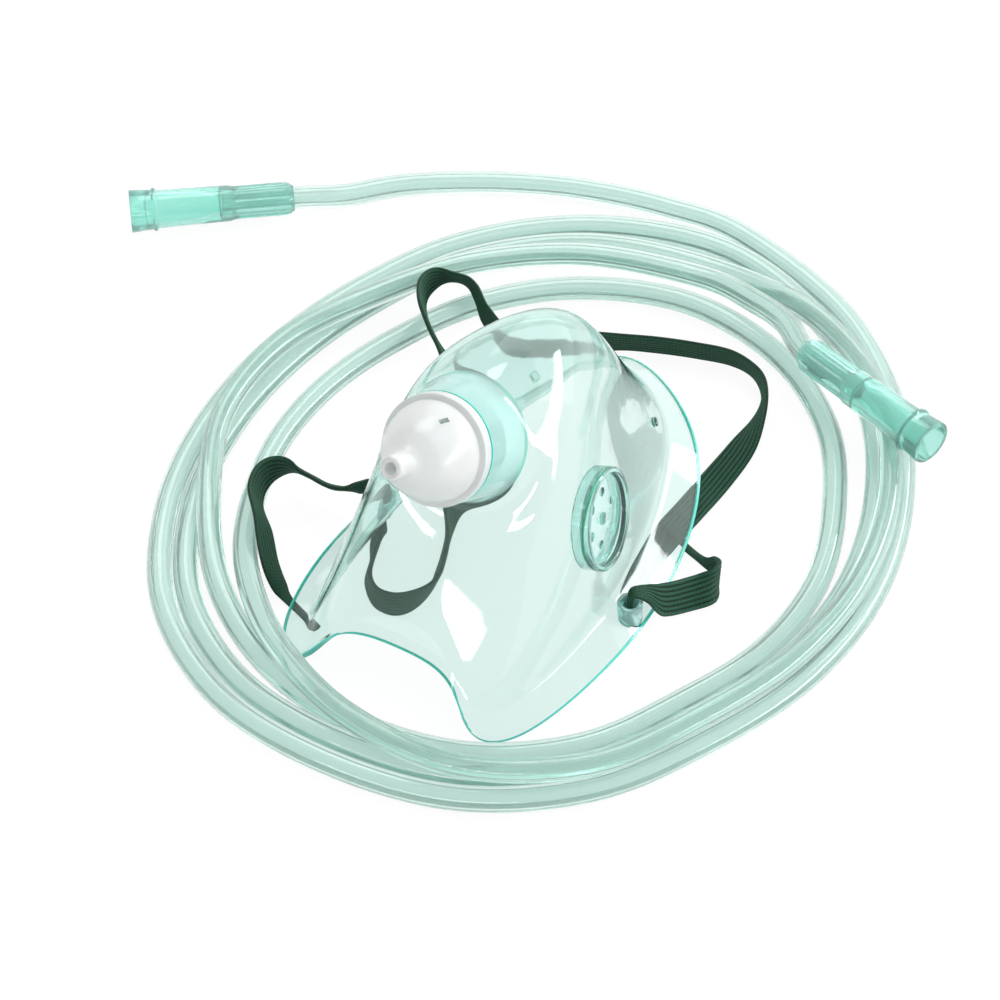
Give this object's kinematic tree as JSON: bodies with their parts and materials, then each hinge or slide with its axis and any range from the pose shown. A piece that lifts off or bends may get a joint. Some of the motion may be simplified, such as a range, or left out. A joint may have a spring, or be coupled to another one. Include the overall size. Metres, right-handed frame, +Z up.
{
  "type": "oxygen face mask",
  "caption": "Clear soft medical oxygen mask with inlet adapter, vent discs, ribbed elastic head strap and a loose coil of supply tubing with a funnel connector at each end.",
  "frame": {"origin": "under the middle of the mask with its adapter, on the surface that it lies on", "axes": "+Z up from the surface, +Y from the chin notch to the nose arch, +X to the wearer's side of the right-hand eyelet"},
  "size_m": [0.2306, 0.2069, 0.0787],
  "materials": {
    "soft_clear_pvc": "gloss",
    "translucent_white_pvc": "satin",
    "green_woven_elastic": "matte",
    "clear_tube_pvc": "gloss",
    "green_connector_pvc": "gloss"
  },
  "bodies": {
    "root": {"mask_body": "soft_clear_pvc", "inlet_adapter": "translucent_white_pvc", "elastic_strap": "green_woven_elastic", "oxygen_tube": "clear_tube_pvc", "supply_end_connector": "green_connector_pvc", "patient_end_connector": "green_connector_pvc"}
  },
  "joints": []
}
